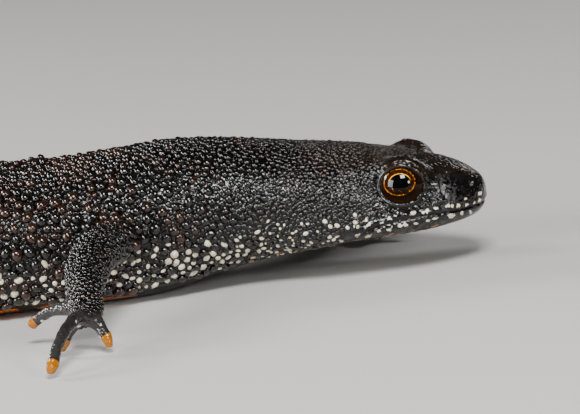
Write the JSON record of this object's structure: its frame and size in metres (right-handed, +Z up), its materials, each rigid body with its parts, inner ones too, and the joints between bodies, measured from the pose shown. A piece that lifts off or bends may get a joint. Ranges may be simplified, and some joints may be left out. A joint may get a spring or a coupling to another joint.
{
  "type": "crested newt",
  "caption": "Life-size crested newt walking with its belly on the floor, its warty back a little bent, with spread toes and a keeled tail laid in a curve behind it.",
  "frame": {"origin": "middle of the flat on which the belly rests, 44.5 mm behind the snout along the spine, on the floor", "axes": "+X towards the snout, +Y towards the newt's left side, +Z up"},
  "size_m": [0.1274, 0.0394, 0.01],
  "materials": {
    "newt_skin": "wet black-brown skin with glossy round warts, white dots low on the sides and an orange belly with black blotches",
    "newt_eye": "wet clear cornea over a dark iris with a gold ring"
  },
  "bodies": {
    "root": {"head": "newt_skin", "lower_jaw": "newt_skin", "eye_left": "newt_eye", "eye_right": "newt_eye", "neck": "newt_skin", "chest": "newt_skin", "belly": "newt_skin", "hips": "newt_skin", "tail_base": "newt_skin", "tail_middle": "newt_skin", "tail_tip": "newt_skin", "left_upper_arm": "newt_skin", "left_forearm": "newt_skin", "left_hand": "newt_skin", "right_upper_arm": "newt_skin", "right_forearm": "newt_skin", "right_hand": "newt_skin", "left_thigh": "newt_skin", "left_shin": "newt_skin", "left_foot": "newt_skin", "right_thigh": "newt_skin", "right_shin": "newt_skin", "right_foot": "newt_skin"}
  },
  "joints": []
}
